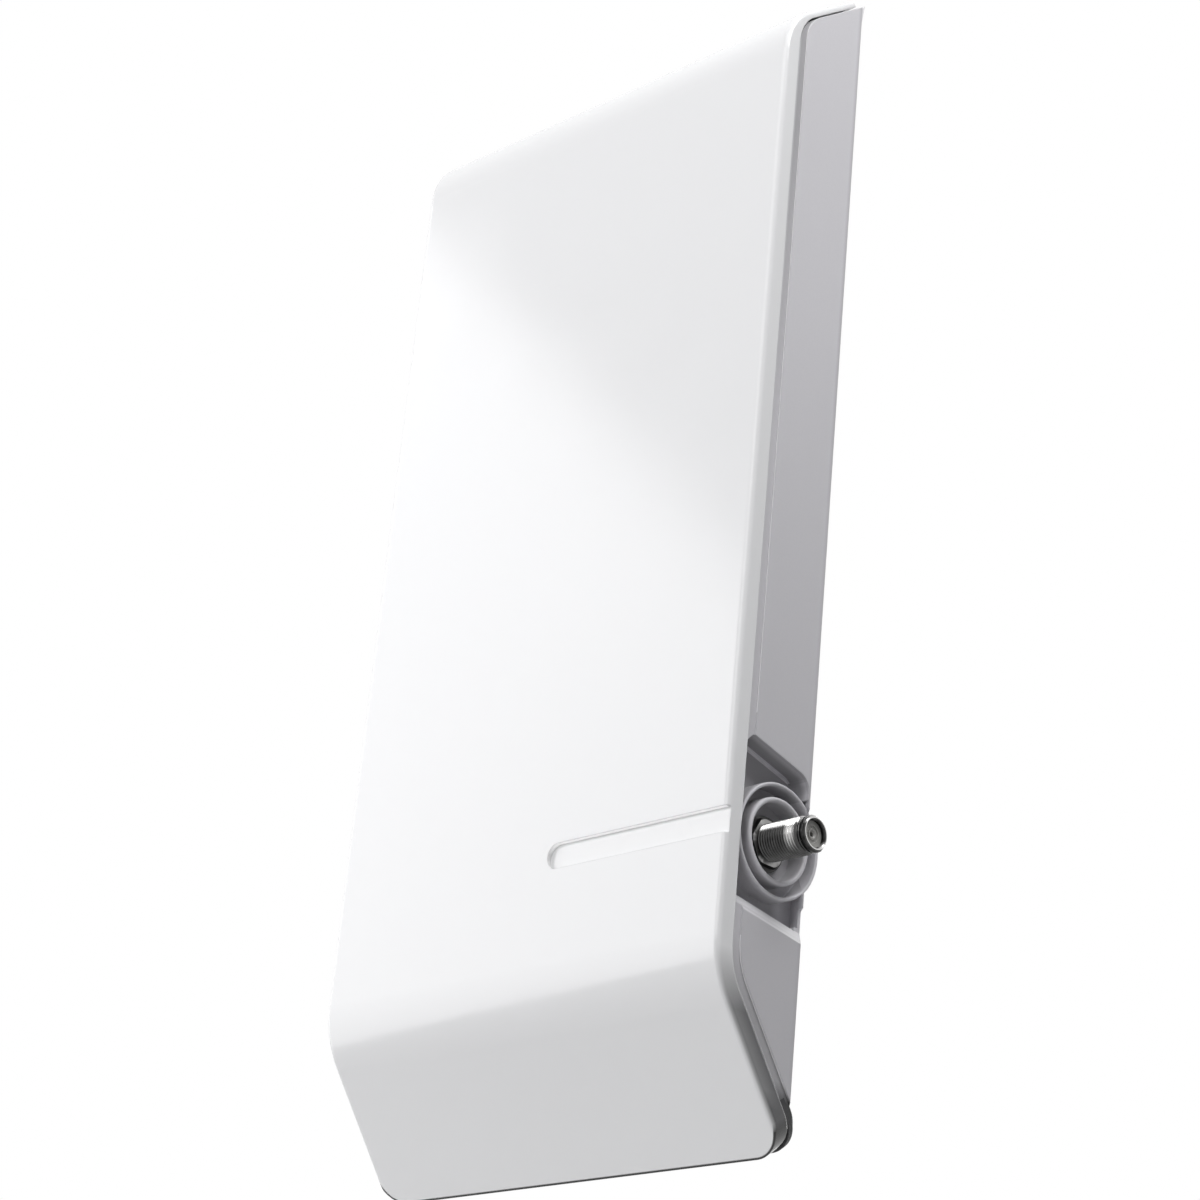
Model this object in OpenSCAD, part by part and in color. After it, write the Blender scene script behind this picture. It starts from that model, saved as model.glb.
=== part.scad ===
// Slim outdoor aerial panel: a wrapped front cover over a moulded rear housing,
// with a side pocket for the threaded aerial connector.
// X runs across the panel, Y runs to the back, Z is up.
// The origin is the centre of the four fixing points on the flat back.

/* [Body] */
// Width across the side faces
body_w = 138; // [124:1:160]
// Height from the lower end to the top back edge
body_h = 321; // [300:1:360]
// Distance from the fixing centre down to the lower end
below_centre = 160; // [140:1:190]
// Depth of the side faces
side_depth = 29; // [27:0.5:34]
// How far the flat back stands behind the side faces
rear_step = 6; // [4:0.5:8]
// Rise of the sloping roof over 40 mm of depth
roof_rise = 30; // [24:1:36]
// Fall of the slanted lower front over 30 mm of depth
chin_fall = 40; // [34:1:48]
// Outer bend radius between front and slanted lower front
chin_bend_r = 26; // [18:1:34]
// Outer bend radius between front and roof
roof_bend_r = 18; // [14:0.5:22]
// Corner radius at the lower end of the slanted front
chin_corner_r = 8.5; // [6:0.5:12]
// Edge radius along both sides of the cover
edge_r = 1.4; // [0.8:0.1:1.8]

/* [Walls] */
// Wall of the front cover
cover_wall = 2; // [1.8:0.1:2.4]
// Wall of the rear housing
housing_wall = 2.2; // [1.8:0.1:2.6]
// Depth of the cover's side walls, front face included
band_depth = 5.1; // [4.8:0.1:6]
// Width of the sunken strip behind the cover's edge
strip_w = 2.8; // [2:0.1:3.4]
// How far the strip lies below the side face
strip_sink = 0.5; // [0.4:0.1:1.2]

/* [Front slot] */
// Height of the shallow slot
slot_h = 6.6; // [5:0.2:9]
// Length of the slot, from its round end to the side edge
slot_l = 60; // [40:1:80]
// Depth of the slot
slot_sink = 1.2; // [0.6:0.1:1.4]

/* [Connector pocket] */
// Height of the connector axis above the origin
pocket_z = -85; // [-95:1:-75]
// Depth of the pocket from the side face
pocket_depth = 6.2; // [5.5:0.1:7.5]
// Outer radius of the outer collar
outer_collar_r = 14.5; // [13:0.1:14.5]
// Outer radius of the inner collar
inner_collar_r = 10.9; // [10.5:0.1:11.5]

/* [Rear fixing] */
// Spacing of the fixing points across
fix_w = 50; // [40:1:70]
// Spacing of the fixing points up and down
fix_h = 75; // [60:1:100]
// Core radius of the threaded inserts
insert_bore_r = 2.1; // [2.1:0.1:2.5]

/* [Hidden] */
$fn = 64;

eps = 0.01;
far = 400;

// Main planes and slopes
roof_angle = atan(roof_rise / 40);
chin_angle = atan(chin_fall / 30);
half_w = body_w / 2;
front_y = -(side_depth + rear_step);
side_back_y = -rear_step;
roof_top_z = body_h - below_centre;
low_end = [side_back_y - 0.65, -below_centre];
front_top_z = roof_top_z - side_depth * tan(roof_angle);
chin_top_z = low_end.y + (low_end.x - front_y) * tan(chin_angle);
chin_in = [sin(chin_angle), cos(chin_angle)];
chin_run = [cos(chin_angle), -sin(chin_angle)];
roof_run = [cos(roof_angle), sin(roof_angle)];
rear_bevel_w = 8;
rear_bevel_slope = 0.6;
corner_run = 1.65;
corner_rise = 10;
roof_back_y = side_back_y + corner_run;

// Bend centres, in the plane of the side view, on whole hundredths
function snap(v) = round(v * 100) / 100;
chin_bend_c = [
    front_y + chin_bend_r,
    snap(chin_top_z + chin_bend_r * tan((90 - chin_angle) / 2))
];
roof_bend_c = [
    front_y + roof_bend_r,
    snap(front_top_z - roof_bend_r * tan((90 - roof_angle) / 2))
];

// Parting line
roof_gap = 0.4;
tongue_gap = 0.1;
seal_t = 1;
seal_w = 1.6;
parting_gap = 0.4;
layer_step = 0.1;
cover_roof_end_y = side_back_y - 4;
roof_end_l = 60;
flange_back = band_depth + strip_w + 0.2;
groove_r = 13;
panel_r = 11;

// Pocket, measured from the connector axis
axis_y = front_y + band_depth + outer_collar_r + 0.4;
floor_x = half_w - pocket_depth;
rim_x = half_w - 1;
pocket_out = 20;
outer_collar_wall = 0.9;
inner_collar_wall = 1.3;
pocket_wall = 2;
pocket_edge = 0.5;
pocket_up = 23.2;
pocket_down = 16.8;
pocket_low_fall = 3.3;
pocket_back_round = 4.5;
pocket_back_top = 5;
pocket_front_cut = 2.4;
pocket_ceiling = [-1, 0.232] / norm([-1, 0.232]);
lean = 0.48;
lean_low = 19;
lean_h = 32;
lean_start = 2;
lip_z = pocket_z - 23.6;
lip_angle = 7.75;
lip_w = 2;
lip_h = 3.5;
lip_clear = 9;
barrel_r = 4.76;
shank_r = 4.4;
contact_r = 0.6;
dielectric_r = 3.3;
barrel_end_x = rim_x + 11.6;
neck_r = 4.2;
rim_r = 4.6;
socket_r = 0.35;
washer_r = 7;
seal_ring_r = 6.2;
nut_flats = 11.1;
nut_t = 2;
washer_t = 0.5;
hole_r = shank_r + 0.2;
wall_in_x = floor_x - pocket_wall;
seal_ring_t = 0.6;
nut_x = wall_in_x - seal_ring_t - nut_t;
shank_x = nut_x - 0.6;
hex_x = floor_x + washer_t;
hex_t = 1.6;
thread_x = hex_x + hex_t;
neck_x = barrel_end_x - 2.6;
neck_l = 0.8;
socket_x = barrel_end_x - 6;

// Inner layout
board_post_x = 44;
board_post_z = [-30, 110];
reflector_y = -8;
reflector_t = 0.8;
board_y = -22;
board_t = 1.6;
foil_t = 0.3;
amp_y = axis_y + contact_r + board_t;
amp_x = [12, 55.5];
amp_z = [pocket_z - 20, pocket_z + 20];
amp_front_y = amp_y - board_t;
can_x = [22, 50];
can_z = [pocket_z - 15, pocket_z + 13];
can_h = 6;
can_t = 0.4;
jumper_x = 24;
jumper_r = 1.5;
jumper_low_z = pocket_z + 15;
jumper_bend_z = 16;
jumper_bend_r = 4;
chip = [5, 1.2, 5];
chip_x = 33;
coil_r = 1.6;
coil_l = 4;
coil_x = 26;
coil_step = 5.5;
chips = [2, 0.6, 1.2];
chips_x = 25;
chips_step = [5, 3];
cover_screw_pos = [for (z = [125, 20, -130]) for (s = [-1, 1]) [s * 57, z]];
post_end_y = -9;
well_y = -5;
screw_r = 1.35;

// Posts, wells and holes
cover_post_r = 3.2;
shell_post_r = 4.8;
insert_post_r = 6;
insert_post_y = -12;
board_post_r = 3.6;
amp_post_r = 3.2;
head_well_r = 3.4;
screw_way_r = 1.7;
insert_r = 3.2;
insert_l = 9;
bolt_way_r = 2.4;
bolt_end_y = -10.5;
board_hole_r = 1.6;
amp_screw_r = 1.1;
amp_hole_r = 1.4;
amp_hole_end_y = -4;
vent_pos = [[0, -140]];
vent_r = 2.5;
vent_flange_r = 3.4;
vent_flange_t = 1.2;
vent_bore_r = 0.6;
slot_z = pocket_z - 0.4;

// Antenna elements
plate_x = 50;
plate_z = [-50, 130];
plate_slot_z = [-10, 60, 85];
board_x = 52;
board_z = [-45, 125];
wing_z = [-2, 82];
wing_in = [5, 2.5];
wing_out = [38, 49, 24];
feed_x = 3.5;
feed_w = 3;
balun = [14, 7, 10];
balun_z = 40;
balun_bore_r = 1.6;

// Points of an arc that rounds the corner p between the directions u and v
function corner_arc(p, u, v, r, n = 16) =
    let (half = acos(u * v) / 2)
    let (c = p + (u + v) / norm(u + v) * r / sin(half))
    let (s = p + u * r / tan(half) - c)
    let (e = p + v * r / tan(half) - c)
    let (a = atan2(s.y, s.x))
    let (turn = atan2(e.y, e.x) - a)
    let (t = turn > 180 ? turn - 360 : (turn < -180 ? turn + 360 : turn))
    [for (i = [0:n]) c + r * [cos(a + t * i / n), sin(a + t * i / n)]];

// Height of the roof line and of the slanted lower front at y, moved in by d
function roof_z(y, d) = front_top_z + (y - front_y) * tan(roof_angle) - d / cos(roof_angle);
function chin_z(y, d) = chin_top_z - (y - front_y) * tan(chin_angle) + d / cos(chin_angle);

// A point on the lower end plane: moved up the slant by up, and inwards by in
function end_point(up, in) = low_end - up * chin_run + in * chin_in;

// Side outline with each face moved in by its own distance:
// d = [front, roof, slanted front, lower end, back]
module side_outline(d, roof_r, chin_r) {
    y = front_y + d[0];
    back = -d[4];
    e = end_point(d[3], 0);
    polygon(concat(
        corner_arc([y, roof_z(y, d[1])], roof_run, [0, -1], roof_r),
        corner_arc([y, chin_z(y, d[2])], [0, 1], chin_run, chin_r),
        [
            end_point(d[3], d[2]),
            end_point(d[3], (back - e.x) / chin_in.x),
            [back, roof_z(roof_back_y, d[1]) - rear_step],
            [roof_back_y - d[4], roof_z(roof_back_y - d[4], d[1])]
        ]
    ));
}

// Draws a side outline across the panel, w wide
module across(w) {
    rotate([90, 0, 90])
        translate([0, 0, -w / 2])
            linear_extrude(w)
                children();
}

// Plan of the body with the bevelled back corners, moved in by d
module plan_outline(d) {
    w = half_w - d;
    s = d * rear_bevel_slope;
    back_w = half_w - rear_bevel_w - s;
    front = -2 * side_depth;
    polygon([
        [-w, front], [w, front], [w, side_back_y - s],
        [back_w, -d], [-back_w, -d], [-w, side_back_y - s]
    ]);
}

module plan(d) {
    translate([0, 0, -far / 2]) linear_extrude(far) plan_outline(d);
}

// The back edges of the side faces run out to the top corners
module corner_flare() {
    translate([0, side_back_y, roof_z(roof_back_y, 0) - corner_rise])
        rotate([-atan(corner_run / corner_rise), 0, 0])
            translate([0, -side_back_y, -corner_rise])
                linear_extrude(3 * corner_rise)
                    plan_outline(layer_step);
}

// Round lower corners, cut square to the slanted front: moved in by side and end
module chin_corners(side, end) {
    w = body_w - 2 * side;
    r = chin_corner_r - end;
    c = end_point(end, 210);
    translate([0, c.x, c.y])
        rotate([180 - chin_angle, 0, 0])
            linear_extrude(260) {
                translate([-w / 2, r]) square([w, far]);
                translate([-w / 2 + r, 0]) square([w - 2 * r, far]);
                for (s = [-1, 1]) translate([s * (w / 2 - r), r]) circle(r);
            }
}

// Cross-section of the cover's outside, with rounded front edges; y runs inwards
module edge_section(depth) {
    translate([-half_w, edge_r]) square([body_w, depth - edge_r]);
    translate([-half_w + edge_r, 0]) square([body_w - 2 * edge_r, depth]);
    for (s = [-1, 1]) translate([s * (half_w - edge_r), edge_r]) circle(edge_r);
}

// One bend of the cover's outside, about the centre c, between the directions u and v
module edge_bend(c, r, u, v) {
    w = 50;
    intersection() {
        translate([0, c.x, c.y])
            rotate([90, 0, 90])
                rotate_extrude() {
                    translate([0, -half_w]) square([r - edge_r, body_w]);
                    translate([0, edge_r - half_w]) square([r, body_w - 2 * edge_r]);
                    for (s = [-1, 1])
                        translate([r - edge_r, s * (half_w - edge_r)]) circle(edge_r);
                }
        across(body_w + 2) polygon([c, c + w * u, c + w * (u + v), c + w * v]);
    }
}

// The outside with rounded side edges, swept down the roof, the front and the slant
module rounded_outside() {
    depth = 60;
    bends_end = 60;
    translate([0, front_y, chin_bend_c.y])
        linear_extrude(roof_bend_c.y - chin_bend_c.y)
            edge_section(depth);
    translate([0, chin_bend_c.x, chin_bend_c.y])
        rotate([90 - chin_angle, 0, 0])
            translate([0, -chin_bend_r, -bends_end])
                linear_extrude(bends_end)
                    edge_section(depth);
    translate([0, roof_bend_c.x, roof_bend_c.y])
        rotate([roof_angle - 90, 0, 0])
            translate([0, -roof_bend_r, 0])
                linear_extrude(bends_end)
                    edge_section(depth);
    edge_bend(chin_bend_c, chin_bend_r, [-1, 0], -chin_in);
    edge_bend(roof_bend_c, roof_bend_r, [-1, 0], [-sin(roof_angle), cos(roof_angle)]);
}

// The whole inside of the cover, open towards the housing
module cover_inside() {
    d = cover_wall;
    intersection() {
        across(body_w - 2 * d)
            side_outline([d, d, d, d, -eps], roof_bend_r - d, chin_bend_r - d);
        chin_corners(d, d);
    }
}

// Everything behind the cover's free edge
module behind_cover_edge() {
    across(far)
        side_outline(
            [band_depth, cover_wall, band_depth, -20, -20], groove_r, chin_bend_r - band_depth
        );
}

// Everything past the cover's back edge, cut square to the roof
module roof_end_cut() {
    translate([0, cover_roof_end_y, roof_z(cover_roof_end_y, 0)])
        rotate([roof_angle, 0, 0])
            translate([-far / 2, 0, -roof_end_l / 2])
                cube([far, roof_end_l, roof_end_l]);
}

// The shallow slot: one round end, open at the side edge
module front_slot() {
    translate([half_w - slot_l, front_y - eps, slot_z])
        rotate([-90, 0, 0])
            linear_extrude(slot_sink + eps) {
                translate([slot_h / 2, 0]) circle(slot_h / 2);
                translate([slot_h / 2, -slot_h / 2]) square([slot_l, slot_h]);
            }
}

// Runs a hole or post from y0 to y1 at each given place
module rods(places, r, y0, y1) {
    for (p = places)
        translate([p.x, y0, p.y])
            rotate([-90, 0, 0])
                cylinder(r = r, h = y1 - y0);
}

module front_cover() {
    color("white")
        difference() {
            union() {
                difference() {
                    intersection() {
                        rounded_outside();
                        across(body_w)
                            side_outline([-5, -5, -5, 0, 0], roof_bend_r, chin_bend_r);
                        chin_corners(0, 0);
                    }
                    cover_inside();
                    behind_cover_edge();
                    roof_end_cut();
                }
                intersection() {
                    rods(cover_screw_pos, cover_post_r, front_y - 5, post_end_y);
                    across(body_w)
                        side_outline([1, 1, 1, 1, 1], roof_bend_r - 1, chin_bend_r - 1);
                }
            }
            front_slot();
            rods(cover_screw_pos, screw_r, post_end_y - 12, post_end_y + eps);
        }
}

// Outline of the pocket mouth in the side view, grown by g
module pocket_outline(g) {
    y0 = front_y + band_depth - g;
    y1 = side_back_y - pocket_edge + g;
    top = pocket_z + pocket_up + g;
    low = pocket_z - pocket_down - g;
    polygon(concat(
        [[y0, low], [y1, low - pocket_low_fall]],
        corner_arc([y1, top - pocket_back_top], [0, -1], pocket_ceiling, pocket_back_round, 8),
        [[y0 + pocket_front_cut, top], [y0, top - pocket_front_cut]]
    ));
}

// The pocket's hollow: its back wall leans back, and its lower lip slopes outwards
module pocket_space(g) {
    x0 = floor_x - g;
    x1 = half_w + pocket_out;
    y1 = side_back_y - pocket_edge + g;
    translate([x0, 0, 0])
        rotate([90, 0, 90])
            linear_extrude(x1 - x0)
                pocket_outline(g);
    translate([0, 0, pocket_z - lean_low - g])
        linear_extrude(lean_h + 2 * g)
            polygon([
                [x0, y1 - lean_start], [x1, y1 - lean_start], [x1, y1], [half_w, y1],
                [x0, y1 + lean * (pocket_depth + g)]
            ]);
    translate([0, side_back_y + 1, lip_z - g])
        rotate([-lip_angle, 0, 0])
            rotate([90, 0, 0])
                linear_extrude(side_back_y - front_y - band_depth + 1 + g)
                    polygon([
                        [half_w - lip_w, lip_h], [half_w - lip_w, lip_clear],
                        [half_w + lip_clear, lip_clear], [half_w + lip_w, -lip_h]
                    ]);
}

// A collar about the connector, with a rounded rim
module ring(r, wall, x0, x1) {
    h = x1 - x0 - wall / 2;
    translate([x0, axis_y, pocket_z])
        rotate([0, 90, 0])
            rotate_extrude() {
                translate([r - wall, 0]) square([wall, h]);
                translate([r - wall / 2, h]) circle(wall / 2);
            }
}

// Outside layers of the housing: side panels, sunken strip and tongue
module housing_layers() {
    intersection() {
        across(body_w)
            side_outline(
                [band_depth + strip_w, cover_wall + roof_gap, band_depth + strip_w + 0.4, 0, 0],
                panel_r, chin_bend_r - band_depth - strip_w
            );
        union() {
            plan(0);
            corner_flare();
        }
        chin_corners(0, 0);
    }
    intersection() {
        across(body_w - 2 * strip_sink)
            side_outline(
                [
                    band_depth + parting_gap, cover_wall + roof_gap + layer_step,
                    band_depth + parting_gap, strip_sink, strip_sink
                ],
                groove_r, chin_bend_r - band_depth
            );
        union() {
            plan(strip_sink);
            difference() {
                cube([body_w, far, far], center = true);
                across(far)
                    side_outline(
                        [flange_back, 0, flange_back, -20, -20], panel_r, chin_bend_r - flange_back
                    );
            }
        }
        chin_corners(strip_sink, strip_sink);
    }
    d = cover_wall + tongue_gap;
    intersection() {
        across(body_w - 2 * d)
            side_outline(
                [
                    cover_wall + seal_t, cover_wall + roof_gap + 2 * layer_step,
                    cover_wall + seal_t, cover_wall + seal_t, housing_wall
                ],
                roof_bend_r - 3, chin_bend_r - 3
            );
        plan(housing_wall);
        chin_corners(d, cover_wall + seal_t);
    }
}

module housing_inside() {
    d = cover_wall + tongue_gap + 1.8;
    roof_in = cover_wall + roof_gap + housing_wall;
    end_in = cover_wall + seal_t + housing_wall;
    intersection() {
        across(body_w - 2 * d)
            side_outline([-20, roof_in, -20, end_in, housing_wall], 2, chin_bend_r);
        plan(housing_wall + 1.7);
        chin_corners(d, end_in);
    }
    inset = band_depth + strip_w + 2;
    intersection() {
        across(body_w - 2 * housing_wall)
            side_outline([inset, roof_in, inset, end_in, housing_wall], panel_r, chin_bend_r - inset);
        plan(housing_wall);
        chin_corners(housing_wall, end_in);
    }
}

fix_points = [for (sx = [-1, 1]) for (sz = [-1, 1]) [sx * fix_w / 2, sz * fix_h / 2]];
board_posts = [for (s = [-1, 1]) for (z = board_post_z) [s * board_post_x, z]];
amp_posts = [[amp_x[0] + 4, amp_z[0] + 4], [amp_x[0] + 4, amp_z[1] - 4]];

module rear_housing() {
    color("gainsboro") {
        difference() {
            union() {
                difference() {
                    housing_layers();
                    housing_inside();
                }
                intersection() {
                    housing_layers();
                    union() {
                        rods(cover_screw_pos, shell_post_r, post_end_y, -eps);
                        rods(fix_points, insert_post_r, insert_post_y, -eps);
                        rods(board_posts, board_post_r, reflector_y, -eps);
                        rods(amp_posts, amp_post_r, amp_y, -eps);
                        pocket_space(pocket_wall);
                        on_axis(wall_in_x) cylinder(r = outer_collar_r + 1, h = 20);
                    }
                }
            }
            pocket_space(0);
            on_axis(floor_x) cylinder(r = outer_collar_r - 0.5 * outer_collar_wall, h = 20);
            rods(cover_screw_pos, head_well_r, well_y, 1);
            rods(cover_screw_pos, screw_way_r, post_end_y - 1, 1);
            rods(fix_points, insert_r, -insert_l, 1);
            rods(fix_points, bolt_way_r, bolt_end_y, 1);
            rods(board_posts, screw_r, reflector_y - 1, -3);
            rods(amp_posts, amp_screw_r, amp_y - 1, amp_hole_end_y);
            on_axis(floor_x - 10) cylinder(r = hole_r, h = 20);
            rods(vent_pos, vent_r, -insert_l, 1);
        }
        ring(outer_collar_r, outer_collar_wall, wall_in_x + 0.2, rim_x);
        ring(inner_collar_r, inner_collar_wall, wall_in_x + 0.2, rim_x);
    }
}

// A closed gasket between the tongue and the inside of the cover
module cover_seal() {
    e = cover_wall + seal_t;
    tongue_w = body_w - 2 * (cover_wall + tongue_gap);
    top_end_y = cover_roof_end_y - 1.5;
    color("dimgray")
        difference() {
            intersection() {
                cover_inside();
                cube([tongue_w, far, far], center = true);
            }
            intersection() {
                across(tongue_w)
                    side_outline(
                        [e, cover_wall + roof_gap, e, e, -20], roof_bend_r - 3, chin_bend_r - 3
                    );
                chin_corners(cover_wall + tongue_gap, e);
            }
            intersection() {
                across(tongue_w - 2 * seal_w)
                    side_outline([-5, -5, -5, e + seal_w, -20], roof_bend_r, chin_bend_r);
                translate([-far / 2, top_end_y - seal_w - far, -far / 2]) cube([far, far, far]);
            }
            translate([-far / 2, top_end_y, 0]) cube([far, far, far]);
            intersection() {
                behind_cover_edge();
                translate([0, 0, -far / 2]) cube([far, far, far], center = true);
            }
        }
}

module reflector_plate() {
    color("silver")
        difference() {
            translate([-plate_x, reflector_y - reflector_t, plate_z[0]])
                cube([2 * plate_x, reflector_t, plate_z[1] - plate_z[0]]);
            rods(board_posts, board_hole_r, reflector_y - 2, reflector_y + 1);
            rods(fix_points, insert_post_r + 0.4, reflector_y - 2, reflector_y + 1);
            for (z = plate_slot_z)
                translate([-30, reflector_y - 2, z - 4]) cube([60, 4, 8]);
        }
}

module antenna_board() {
    color("darkgreen")
        difference() {
            translate([-board_x, board_y - board_t, board_z[0]])
                cube([2 * board_x, board_t, board_z[1] - board_z[0]]);
            rods(board_posts, board_hole_r, board_y - 3, board_y + 1);
        }
}

// Two pairs of flared wings, fed at their inner ends
module dipole_wings() {
    color("goldenrod")
        for (z = wing_z)
            for (s = [-1, 1])
                translate([0, board_y - board_t, z])
                    rotate([90, 0, 0])
                        linear_extrude(foil_t)
                            polygon([
                                [s * wing_in.x, -wing_in.y], [s * wing_out.x, -wing_out.z],
                                [s * wing_out.y, -wing_out.z], [s * wing_out.y, wing_out.z],
                                [s * wing_out.x, wing_out.z], [s * wing_in.x, wing_in.y]
                            ]);
}

module feed_lines() {
    color("goldenrod")
        for (s = [-1, 1])
            translate([s * feed_x - feed_w / 2, board_y - board_t - foil_t, wing_z[0] - wing_in.y])
                cube([feed_w, foil_t, wing_z[1] - wing_z[0] + 2 * wing_in.y]);
}

module balun_core() {
    color("dimgray")
        translate([0, board_y - board_t - foil_t - balun.y / 2, balun_z])
            difference() {
                cube(balun, center = true);
                for (s = [-1, 1])
                    translate([s * balun.x / 5, 0, -balun.z])
                        cylinder(r = balun_bore_r, h = 2 * balun.z);
            }
}

module board_spacers() {
    color("ivory")
        difference() {
            rods(board_posts, board_post_r - 0.4, board_y, reflector_y - reflector_t);
            rods(board_posts, board_hole_r, board_y - 1, reflector_y);
        }
}

// Pan-head screws driven from the front (dir -1) or from the back (dir 1)
module screws(places, seat_y, tip_y, shank_r, head_r, head_h) {
    low = min(seat_y, tip_y);
    high = max(seat_y, tip_y);
    out = seat_y > tip_y ? 1 : -1;
    difference() {
        union() {
            rods(places, shank_r, low, high);
            rods(places, head_r, min(seat_y, seat_y + out * head_h), max(seat_y, seat_y + out * head_h));
        }
        for (p = places)
            translate([p.x, seat_y + out * head_h, p.y])
                for (a = [0, 90])
                    rotate([0, a, 0])
                        cube([head_r * 1.2, head_h * 1.1, 0.7], center = true);
    }
}

module board_screws() {
    color("silver") screws(board_posts, board_y - board_t, -4, screw_r, 2.8, 1.8);
}

module coax_jumper() {
    y = amp_front_y - jumper_r;
    r = jumper_bend_r;
    color("black") {
        translate([jumper_x, y, jumper_low_z])
            cylinder(r = jumper_r, h = jumper_bend_z - jumper_low_z);
        translate([jumper_x, y - r, jumper_bend_z])
            rotate([0, 0, 90])
                rotate([90, 0, 0])
                    rotate_extrude(angle = 90)
                        translate([r, 0]) circle(jumper_r);
        translate([jumper_x, board_y, jumper_bend_z + r])
            rotate([-90, 0, 0])
                cylinder(r = jumper_r, h = y - r - board_y);
    }
}

module amplifier_board() {
    color("darkgreen")
        difference() {
            translate([amp_x[0], amp_front_y, amp_z[0]])
                cube([amp_x[1] - amp_x[0], board_t, amp_z[1] - amp_z[0]]);
            rods(amp_posts, amp_hole_r, amp_front_y - 1, amp_y + 1);
        }
}

module amplifier_chip() {
    color("black")
        translate([chip_x, amp_front_y - chip.y, pocket_z - chip.z / 2]) cube(chip);
}

module filter_coils() {
    color("orange")
        for (i = [0:3])
            translate([coil_x + coil_step * i, amp_front_y - coil_r, pocket_z + 7])
                cylinder(r = coil_r, h = coil_l);
}

module chip_components() {
    color("tan")
        for (i = [0:4])
            for (j = [0, 1])
                translate([
                    chips_x + chips_step.x * i, amp_front_y - chips.y,
                    pocket_z - 8 - chips_step.y * j
                ])
                    cube(chips);
}

module shield_frame() {
    w = can_x[1] - can_x[0];
    h = can_z[1] - can_z[0];
    color("lightgray")
        translate([can_x[0], amp_front_y - can_h, can_z[0]])
            difference() {
                cube([w, can_h, h]);
                translate([can_t, -1, can_t]) cube([w - 2 * can_t, can_h + 2, h - 2 * can_t]);
            }
}

module shield_lid() {
    w = can_x[1] - can_x[0];
    h = can_z[1] - can_z[0];
    color("silver")
        translate([can_x[0] - can_t, amp_front_y - can_h - can_t, can_z[0] - can_t])
            difference() {
                cube([w + 2 * can_t, 2.5, h + 2 * can_t]);
                translate([can_t, can_t, can_t]) cube([w, 4, h]);
            }
}

module amplifier_screws() {
    color("silver") screws(amp_posts, amp_front_y, -6, amp_screw_r, 2.2, 1.5);
}

// Places children along the connector axis, starting at x
module on_axis(x) {
    translate([x, axis_y, pocket_z])
        rotate([0, 90, 0])
            children();
}

module connector_body() {
    color("silver")
        difference() {
            union() {
                on_axis(shank_x) cylinder(r = shank_r, h = hex_x - shank_x + eps);
                on_axis(hex_x) cylinder(r = nut_flats / 2 / cos(30), h = hex_t, $fn = 6);
                on_axis(thread_x - eps) cylinder(r = barrel_r, h = neck_x - thread_x + eps);
                on_axis(neck_x - eps) cylinder(r = neck_r, h = neck_l + 2 * eps);
                on_axis(neck_x + neck_l) cylinder(r = rim_r, h = barrel_end_x - neck_x - neck_l);
            }
            on_axis(shank_x - 1) cylinder(r = dielectric_r, h = far);
        }
}

module connector_insulator() {
    color("white")
        difference() {
            on_axis(shank_x - 1.5) cylinder(r = dielectric_r, h = barrel_end_x - shank_x + 0.3);
            on_axis(shank_x - 3) cylinder(r = contact_r, h = far);
        }
}

module centre_contact() {
    color("gold")
        difference() {
            on_axis(can_x[1] + 0.4) cylinder(r = contact_r, h = socket_x - can_x[1] - 0.4);
            on_axis(socket_x - 4) cylinder(r = socket_r, h = far);
        }
}

module connector_nut() {
    color("silver")
        on_axis(nut_x)
            difference() {
                cylinder(r = nut_flats / 2 / cos(30), h = nut_t, $fn = 6);
                translate([0, 0, -eps]) cylinder(r = shank_r, h = nut_t + 1);
            }
}

module connector_washer() {
    color("lightgray")
        on_axis(floor_x)
            difference() {
                cylinder(r = washer_r, h = washer_t);
                translate([0, 0, -eps]) cylinder(r = shank_r, h = washer_t + 1);
            }
}

module connector_seal() {
    color("black")
        on_axis(wall_in_x - seal_ring_t)
            difference() {
                cylinder(r = seal_ring_r, h = seal_ring_t);
                translate([0, 0, -eps]) cylinder(r = shank_r, h = 1);
            }
}

module housing_screws() {
    color("silver") screws(cover_screw_pos, well_y, -19, screw_r, 2.9, 1.9);
}

module mount_inserts() {
    color("goldenrod")
        difference() {
            rods(fix_points, insert_r, -insert_l, 0);
            rods(fix_points, insert_bore_r, -insert_l - 1, 1);
        }
}

module vent_plug() {
    color("dimgray")
        difference() {
            union() {
                rods(vent_pos, vent_r, -housing_wall - vent_flange_t, 0);
                rods(vent_pos, vent_flange_r, -housing_wall - vent_flange_t, -housing_wall);
            }
            rods(vent_pos, vent_bore_r, -insert_l, 1);
        }
}

front_cover();
rear_housing();
cover_seal();
reflector_plate();
antenna_board();
dipole_wings();
feed_lines();
balun_core();
board_spacers();
board_screws();
coax_jumper();
amplifier_board();
amplifier_chip();
filter_coils();
chip_components();
shield_frame();
shield_lid();
amplifier_screws();
connector_body();
connector_insulator();
centre_contact();
connector_nut();
connector_washer();
connector_seal();
housing_screws();
mount_inserts();
vent_plug();
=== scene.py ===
"""Builds the finished look of a slim outdoor aerial panel over its CAD frame.

Everything is in metres, in the frame of the part: X across the panel, Y out of
the back, Z up, with the origin between the four fixing points on the back. The
slanted lower front is called the chin.
"""

import math

import bmesh
import bpy
from bpy.props import FloatProperty, FloatVectorProperty, IntProperty, PointerProperty
from bpy.types import Operator, Panel, PropertyGroup
from mathutils import Matrix, Vector


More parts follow.
